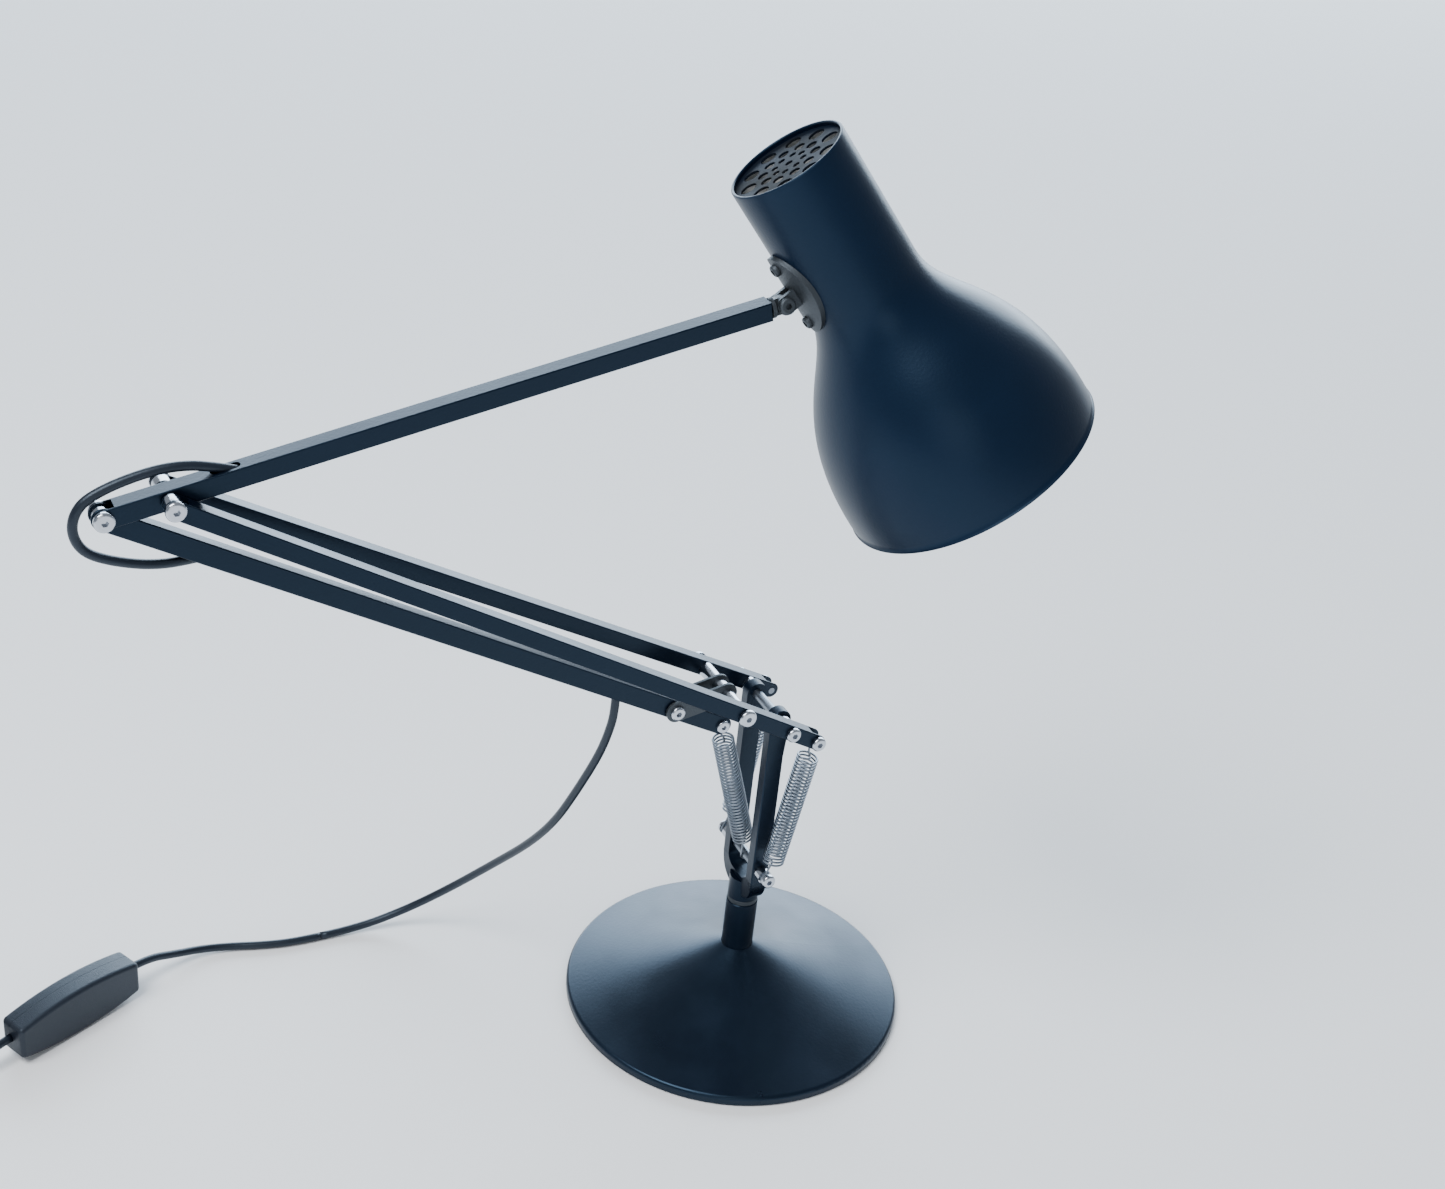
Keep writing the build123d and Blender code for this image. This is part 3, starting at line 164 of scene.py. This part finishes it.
def lead_line(name, route):
    """Points read from a smooth NURBS line of order 3 whose control points are the route, in metres."""
    curve = bpy.data.curves.new(name, "CURVE")
    curve.dimensions = "3D"
    curve.resolution_u = 10
    spline = curve.splines.new("NURBS")
    spline.points.add(len(route) - 1)
    spline.points.foreach_set("co", np.c_[np.array(route), np.ones(len(route))].ravel())
    spline.order_u = 3
    spline.use_endpoint_u = True
    holder = bpy.data.objects.new(name, curve)
    bpy.context.scene.collection.objects.link(holder)
    line = bpy.data.meshes.new_from_object(holder.evaluated_get(bpy.context.evaluated_depsgraph_get()))
    path = np.zeros(3 * len(line.vertices))
    line.vertices.foreach_get("co", path)
    bpy.data.objects.remove(holder)
    bpy.data.meshes.remove(line)
    return path.reshape(-1, 3)


def skin(name, rings, look, closed=True):
    """Smooth skin over rings of points: each ring joins the next with quads, and the end rings are filled."""
    count, around = rings.shape[:2]
    index = np.arange(count * around).reshape(count, around)
    beside = np.roll(index, -1, axis=1)
    quads = np.stack([index[:-1], beside[:-1], beside[1:], index[1:]], axis=-1).reshape(-1, 4)
    faces = quads.tolist() + ([index[0, ::-1].tolist(), index[-1].tolist()] if closed else [])
    mesh = bpy.data.meshes.new(name)
    mesh.from_pydata(rings.reshape(-1, 3).tolist(), [], faces)
    mesh.polygons.foreach_set("use_smooth", np.r_[np.ones(len(quads)), np.zeros(len(faces) - len(quads))] > 0)
    mesh.materials.append(look)
    piece = bpy.data.objects.new(name, mesh)
    bpy.context.scene.collection.objects.link(piece)
    return piece


def tube_rings(path, radius, sides):
    """Circles of a radius round a path: each station's cross axis is the last one's, less its share along
    the tangent."""
    tangent = np.gradient(path, axis=0)
    tangent /= np.linalg.norm(tangent, axis=1, keepdims=True)
    across = np.zeros_like(path)
    last = np.cross(tangent[0], (0.31, 0.52, 0.79))
    for station, forward in enumerate(tangent):
        last = last - (last @ forward) * forward
        last /= np.linalg.norm(last)
        across[station] = last
    beside = np.cross(tangent, across)
    turn = np.linspace(0, 2 * math.pi, sides, endpoint=False)[None, :, None]
    return path[:, None] + radius * (np.cos(turn) * across[:, None] + np.sin(turn) * beside[:, None])


lead_radius = 0.0025
sheath = surface(
    "lead_sheath", ((0.004, 0.006, 0.011), (0.007, 0.010, 0.018)), (0.34, 0.46), grain=900, relief=0.15
)
reflection(sheath, 0.5, (0.7, 0.85, 1.0))

elbow_route = [
    (-0.3060, 0, 0.4114), (-0.3225, 0, 0.4164), (-0.3355, 0, 0.4179), (-0.3490, 0, 0.4166),
    (-0.3657, 0, 0.4120), (-0.3784, 0, 0.4060), (-0.3836, 0, 0.3996), (-0.3855, 0, 0.3915),
    (-0.3836, 0, 0.3834), (-0.3784, 0, 0.3770), (-0.3666, 0, 0.3715), (-0.3515, 0, 0.3673),
    (-0.3370, 0, 0.3664), (-0.3220, 0, 0.3683),
]
elbow_path = lead_line("elbow_loop_line", elbow_route)
elbow_lead = skin("elbow_lead", tube_rings(elbow_path, lead_radius, 20), sheath)
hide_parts("elbow_loop")
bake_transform(elbow_lead)

hanging_route = [
    (-0.0982, 0, 0.2450), (-0.0982, 0.0003, 0.2310), (-0.0989, 0.0030, 0.2180), (-0.1010, 0.0095, 0.1970),
    (-0.1064, 0.0245, 0.1630), (-0.1120, 0.0400, 0.1310), (-0.1190, 0.0610, 0.1010),
    (-0.1300, 0.0890, 0.0680), (-0.1480, 0.1140, 0.0355), (-0.1720, 0.1290, 0.0130),
    (-0.2030, 0.1335, 0.0026), (-0.2280, 0.1336, 0.0026),
]
hanging_path = lead_line("hanging_line", hanging_route)
hanging_lead = skin("hanging_lead", tube_rings(hanging_path, lead_radius, 20), sheath)
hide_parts("lead_hanging")
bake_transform(hanging_lead)

floor_route = [
    (-0.2282, 0.1336, 0.0026), (-0.2450, 0.1337, 0.0026), (-0.2640, 0.1370, 0.0026),
    (-0.2830, 0.1425, 0.0027), (-0.3010, 0.1442, 0.0044), (-0.3190, 0.1395, 0.0090),
    (-0.3360, 0.1341, 0.0149), (-0.3495, 0.1275, 0.0156),
]
floor_path = lead_line("floor_line", floor_route)
floor_lead = skin("floor_lead", tube_rings(floor_path, lead_radius, 20), sheath)
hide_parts("lead_floor")
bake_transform(floor_lead)

# ---------------------------------------------------------------- spare lead and its plug
# The same lead beyond the switch: it drops to the table and is wound flat, three turns inward below and
# two outward on top, each a lead's thickness from the next. It ends in the moulded two-pin plug.
coil_centre = np.array((-0.4788, 0.1047))
first_angle = math.radians(-63.8)
turn_step = 2 * lead_radius * 1.04
below, climb, above = 3.0, 1 / 3, 1.99
turns = np.arange(0.06, below + climb + above, 1 / 15)
inward = 0.0368 - turn_step * np.minimum(turns, below)
coil_radii = inward + turn_step * np.maximum(turns - below - climb * 0.7, 0)
climbed = np.clip((turns - below) / climb, 0, 1)
coil_heights = 0.0026 + 0.0052 * climbed * climbed * (3 - 2 * climbed)
coil_angles = first_angle - 2 * math.pi * turns
coil_route = np.c_[
    coil_centre[0] + coil_radii * np.cos(coil_angles),
    coil_centre[1] + coil_radii * np.sin(coil_angles),
    coil_heights,
].tolist()
spare_route = (
    [(-0.4249, 0.0904, 0.0156), (-0.4367, 0.0847, 0.0150), (-0.4480, 0.0791, 0.0090),
     (-0.4565, 0.0749, 0.0040)]
    + coil_route
    + [(-0.5110, 0.1165, 0.0078), (-0.5100, 0.1280, 0.0066), (-0.5096, 0.1400, 0.0052),
       (-0.5097, 0.1520, 0.0058), (-0.5100, 0.1636, 0.0071)]
)
spare_path = lead_line("spare_line", spare_route)
spare_lead = skin("spare_lead", tube_rings(spare_path, lead_radius, 14), sheath)
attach(spare_lead, "base")
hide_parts("lead_to_coil", "lead_coil", "lead_to_plug")


def dress(look, *names):
    """Gives CAD nodes one finish, in place of what they came with."""
    for name in names:
        mesh = nodes[name].data
        mesh.materials.clear()
        mesh.materials.append(look)


dress(sheath, "lead_in_upper_arm", "lead_in_lower_rod")

# ---------------------------------------------------------------- switch and plug mouldings
# Black polypropylene mouldings with a fine spark-eroded texture; the switch is two halves with a seam.
moulding = surface(
    "moulding", ((0.004, 0.0055, 0.010), (0.007, 0.009, 0.016)), (0.38, 0.5), grain=1500, relief=0.35
)
reflection(moulding, 0.5, (0.7, 0.85, 1.0))
dress(moulding, "switch_front", "switch_rear", "switch_rocker", "plug_body", "arm_end_plug")

# nickel-plated brass pins and the bulb's screw base
nickel = surface(
    "nickel", ((0.62, 0.60, 0.55), (0.74, 0.72, 0.68)), (0.2, 0.34), metallic=1.0, grain=600, relief=0.05
)
dress(nickel, "plug_pins", "bulb_base")

# ---------------------------------------------------------------- painted steel
# Base cover, bracket, spindle and the square tubes: steel under a deep navy satin powder coat, which
# has a slight orange peel, a few duller patches where it was handled, and blue in its reflections.
navy = surface(
    "navy_paint", ((0.0010, 0.0028, 0.0075), (0.0016, 0.0042, 0.0110)), (0.27, 0.38),
    grain=700, relief=0.12, patch=14,
)
reflection(navy, 0.35, (0.42, 0.68, 1.0))
dress(navy, "bracket", "spindle_tube", "near_side_bar", "far_side_bar", "lower_rod", "upper_arm_tube")

# the cover's coat has fine scuffs, mostly round it, from wiping
cover_paint = surface(
    "cover_paint", ((0.0008, 0.0020, 0.0060), (0.0013, 0.0034, 0.0095)), (0.27, 0.40),
    grain=520, relief=0.10, patch=20,
)
reflection(cover_paint, 0.45, (0.42, 0.68, 1.0))
dress(cover_paint, "base_cover")

# ---------------------------------------------------------------- hidden weight and pad
# Rough black iron casting under the cover, a felt pad glued below it, and the spindle's nylon bush.
iron = surface(
    "cast_iron", ((0.02, 0.02, 0.022), (0.05, 0.048, 0.046)), (0.6, 0.8), metallic=0.4, grain=260, relief=0.6
)
felt = surface(
    "felt", ((0.012, 0.012, 0.014), (0.03, 0.03, 0.034)), (0.85, 0.98), grain=2400, relief=0.9, patch=60
)
felt.node_tree.nodes["Principled BSDF"].inputs["Sheen Weight"].default_value = 0.4
nylon = surface("nylon", ((0.70, 0.69, 0.65), (0.78, 0.77, 0.73)), (0.45, 0.6), grain=500, relief=0.1)
dress(iron, "ballast_weight")
dress(felt, "base_pad")
dress(nylon, "spindle_bush")

# ---------------------------------------------------------------- bright fasteners
# Button-head socket screws, spacers and bushes: nickel-chrome plated steel, turned, with faint haze
# from handling. The pins and the nut are plain zinc plate.
chrome = surface(
    "chrome", ((0.46, 0.49, 0.54), (0.60, 0.63, 0.68)), (0.12, 0.24), metallic=1.0, grain=900, relief=0.03
)
dress(
    chrome, "spring_foot_screws", "spring_foot_spacers", "ear_spacers", "link_sleeves", "elbow_bushes",
    "lower_arm_screws", "elbow_bearing", "tail_screws", "link_rod_screws", "link_spacer", "tail_bush",
    "front_spring_caps",
)
zinc = surface(
    "zinc", ((0.19, 0.22, 0.26), (0.30, 0.33, 0.37)), (0.30, 0.44), metallic=1.0, grain=800, relief=0.08
)
dress(
    zinc, "spindle_nut", "swivel_stud", "spring_foot_pin", "main_pivot_pin", "link_pivot_pin", "elbow_pin",
    "rear_spring_pins", "tail_pin", "link_rod_pin", "front_spring_pin",
)

# ---------------------------------------------------------------- cast and pressed aluminium
# Saddle, knuckle, their screws, ring washer and link plates: bead-blasted aluminium, dulled to a
# dark grey. The saddle is cast and screwed to the shade's neck.
blasted = surface(
    "blasted_aluminium", ((0.050, 0.060, 0.070), (0.090, 0.102, 0.115)), (0.46, 0.60),
    metallic=0.9, grain=1400, relief=0.35,
)
dress(blasted, "ring_washer", "link_plates", "shade_knuckle", "shade_saddle", "saddle_screws")
dress(blasted, "shade_tilt_bolt")

# ---------------------------------------------------------------- balance springs
# Three tension springs of 1.3 mm zinc-plated wire, 14 mm across, drawn open under load. Each ends in a
# round hook: the front one on the lower rod and the bracket's pin, the pair on the side bars and that pin.
wire_radius = 0.00065
spring_radius = 0.0070 - wire_radius
spring_turns = 34
opening = 3.1  # radians of the first and the last turn over which the helix opens and closes
hook_start, hook_end = -35, 232  # degrees round the pin


def smooth_step(share):
    """Rises from 0 to 1 with no kink: three times the square less twice the cube."""
    share = np.clip(share, 0, 1)
    return share * share * (3 - 2 * share)


def spring_line(top, foot, top_pin, foot_pin, top_gap=0.0110, foot_gap=0.0130):
    """Wire's middle from hook to hook: an arc round the top pin, a helix whose radius opens in its first
    half turn and closes in its last, and an arc round the foot pin. Both arcs lie square to Y."""
    down = (foot - top) / np.linalg.norm(foot - top)
    side = np.cross(down, (0, 1, 0))
    side /= np.linalg.norm(side)
    depth = np.cross(down, side)
    length = np.linalg.norm(foot - top)
    span = length - top_gap - foot_gap
    turn = np.linspace(0, 1, 22 * spring_turns)
    angle = 2 * math.pi * spring_turns * turn
    radius = spring_radius * smooth_step(angle / opening) * smooth_step((angle[-1] - angle) / opening)
    helix = (
        top
        + np.outer(top_gap + span * turn, down)
        + np.outer(radius * np.cos(angle), side)
        + np.outer(radius * np.sin(angle), depth)
    )
    sweep = np.radians(np.linspace(hook_start, hook_end, 34))[:, None]
    top_arc = top + top_pin * (np.cos(sweep) * side - np.sin(sweep) * down)
    foot_arc = foot + foot_pin * (np.cos(sweep[::-1]) * side + np.sin(sweep[::-1]) * down)
    rough = np.vstack([top_arc, helix, foot_arc])
    steps = np.r_[0, np.cumsum(np.linalg.norm(np.diff(rough, axis=0), axis=1))]
    even = np.linspace(0, steps[-1], 1100)
    line = np.stack([np.interp(even, steps, rough[:, axis]) for axis in range(3)], axis=1)
    padded = np.vstack([line[:1].repeat(2, 0), line, line[-1:].repeat(2, 0)])
    return sum(padded[start : start + len(line)] for start in range(5)) / 5


def pin_middle(name, side=0):
    """Middle of a cross pin, or of its near (-1) or far (+1) end's stretch, as an array."""
    low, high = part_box(name)
    return np.array([(low.x + high.x) / 2, side * (high.y - low.y) / 2, (low.z + high.z) / 2])


foot_middle = pin_middle("spring_foot_pin")
front_top = pin_middle("front_spring_pin")
rear_top = pin_middle("rear_spring_pins")
rear_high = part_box("rear_springs")[1]
pair_top = rear_high.y - spring_radius - wire_radius
pair_foot = 0.0273
pin_hook, foot_hook = 0.0020 + wire_radius + 0.0003, 0.0030 + wire_radius + 0.0003
springs = [("front_coil", front_top, foot_middle, "front_spring")]
for side, name in ((-1, "near_rear_coil"), (1, "far_rear_coil")):
    top = rear_top + (0, side * pair_top, 0)
    springs.append((name, top, foot_middle + (0, side * pair_foot, 0), "rear_springs"))
for name, top, foot, stands_for in springs:
    line = spring_line(top, foot, pin_hook, foot_hook)
    coil = skin(name, tube_rings(line, wire_radius, 8), zinc)
    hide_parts(stands_for)
    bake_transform(coil)

# ---------------------------------------------------------------- shade
# Spun aluminium in one piece: a straight neck that swells into a bell, both edges rolled. It is navy
# outside and gloss white inside, and the pierced vent disc is let into the neck's top.
swivel = next(joint for joint in frame["joints"] if joint["name"] == "shade_tilt")
tilt_line = np.array(swivel["axis"])
tilt_point = np.array(swivel["pos_m"])
arm_line = np.array(next(joint for joint in frame["joints"] if joint["name"] == "shade_swivel")["axis"])
shade_tilt, shade_turn = math.radians(-56.2), math.radians(-13.6)


def turned_about(vector, axis, angle):
    """Vector turned about a unit axis: its part along the axis stays, and the rest swings by the angle."""
    along = (vector @ axis) * axis
    return along + (vector - along) * math.cos(angle) + np.cross(axis, vector) * math.sin(angle)


shade_line = turned_about(np.array([math.cos(shade_tilt), 0, math.sin(shade_tilt)]), arm_line, shade_turn)
shade_line /= np.linalg.norm(shade_line)
shade_away = np.cross(shade_line, tilt_line)
shade_away *= np.sign(shade_away @ np.array([1.0, 0, 0]))
neck_radius, mouth_radius, neck_length, shade_length, wall = 0.0330, 0.0750, 0.0790, 0.2055, 0.0012
saddle_gap = 0.0100  # tilt axis to the neck's surface
tilt_station = 0.0612  # neck's top to the tilt axis, along the shade
neck_hold, mouth_hold, mouth_swell = 0.0359, 0.0803, 0.0016
shade_top = tilt_point + shade_away * (saddle_gap + neck_radius) - shade_line * tilt_station


def bell_curve(points):
    """Bell's outer line from the neck to the mouth, as a cubic Bezier: it leaves the neck along it and
    nears the mouth almost straight. Columns are the distance from the neck's top and the radius."""
    t = np.linspace(0, 1, points)[:, None]
    holds = np.array([
        (neck_length, neck_radius),
        (neck_length + neck_hold, neck_radius),
        (shade_length - mouth_hold, mouth_radius + mouth_swell),
        (shade_length, mouth_radius),
    ])
    near, far = (1 - t) ** 3 * holds[0] + 3 * (1 - t) ** 2 * t * holds[1], t**3 * holds[3]
    return near + 3 * (1 - t) * t**2 * holds[2] + far


def lathe(name, profile, look, sides=160):
    """Profile of distance and radius carried round the shade's line."""
    angle = np.linspace(0, 2 * math.pi, sides, endpoint=False)[None, :, None]
    across, out = shade_away, np.cross(shade_line, shade_away)
    middle = shade_top + profile[:, :1] * shade_line
    rings = middle[:, None] + profile[:, 1][:, None, None] * (np.cos(angle) * across + np.sin(angle) * out)
    return skin(name, rings, look, closed=False)


def rolled_edge(middle, radius, start, end, points=12):
    """Half-round lip: a circle's arc between two angles about a point of distance and radius."""
    angle = np.radians(np.linspace(start, end, points))
    return np.c_[middle[0] + radius * np.cos(angle), middle[1] + radius * np.sin(angle)]


bell = bell_curve(60)
slope = np.gradient(bell, axis=0)
slope /= np.linalg.norm(slope, axis=1, keepdims=True)
bell_inner = bell + wall * np.c_[slope[:, 1], -slope[:, 0]]
neck_lip = rolled_edge((0.0010, neck_radius - 0.0009), 0.0009, 265, 90)
neck = np.c_[np.linspace(0.0030, neck_length - 0.002, 30), np.full(30, neck_radius)]
mouth_lip = rolled_edge((shade_length - 0.0002, mouth_radius - 0.0006), 0.0011, 80, -95)
enamel_top = 0.0046  # the white stops under the vent disc, and the navy wraps over the lip down to it
neck_rim = np.c_[np.linspace(enamel_top, 0.0020, 3), np.full(3, neck_radius - wall)]
outside = np.vstack([neck_rim, neck_lip, neck, bell[1:], mouth_lip])
inside = np.vstack([
    mouth_lip[-1:], bell_inner[::-1][2:-1],
    np.c_[np.linspace(neck_length, enamel_top, 30), np.full(30, neck_radius - wall)],
])
shade_paint = surface(
    "shade_paint", ((0.0020, 0.0068, 0.0190), (0.0030, 0.0095, 0.0255)), (0.30, 0.40), grain=620, relief=0.10
)
reflection(shade_paint, 0.28, (0.45, 0.72, 1.0))
white = surface(
    "white_enamel", ((0.78, 0.78, 0.76), (0.84, 0.84, 0.82)), (0.22, 0.32), grain=400, relief=0.06
)
shade_outside = lathe("shade_outside", outside, shade_paint)
shade_inside = lathe("shade_inside", inside, white)
for half in (shade_outside, shade_inside):
    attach(half, "shade")
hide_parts("shade_shell")

# the vent disc is painted like the shade but has dulled and browned with the bulb's heat
browned = surface(
    "browned_paint", ((0.0030, 0.0075, 0.0180), (0.0120, 0.0130, 0.0140)), (0.50, 0.66),
    grain=700, relief=0.15, patch=45,
)
reflection(browned, 0.06)
dress(browned, "vent_disc")

# ---------------------------------------------------------------- lampholder and bulb
# Dark moulded lampholder, strapped to the neck's inside by the saddle's screws, with a frosted glass bulb.
bakelite = surface(
    "bakelite", ((0.010, 0.008, 0.007), (0.022, 0.017, 0.013)), (0.3, 0.45), grain=500, relief=0.1
)
dress(bakelite, "lampholder")
frosted = surface(
    "frosted_glass", ((0.88, 0.88, 0.86), (0.93, 0.93, 0.91)), (0.3, 0.4), grain=500, relief=0.03
)
frosted_shader = frosted.node_tree.nodes["Principled BSDF"]
frosted_shader.inputs["Transmission Weight"].default_value = 0.35
frosted_shader.inputs["Subsurface Weight"].default_value = 0.2
dress(frosted, "bulb_globe")
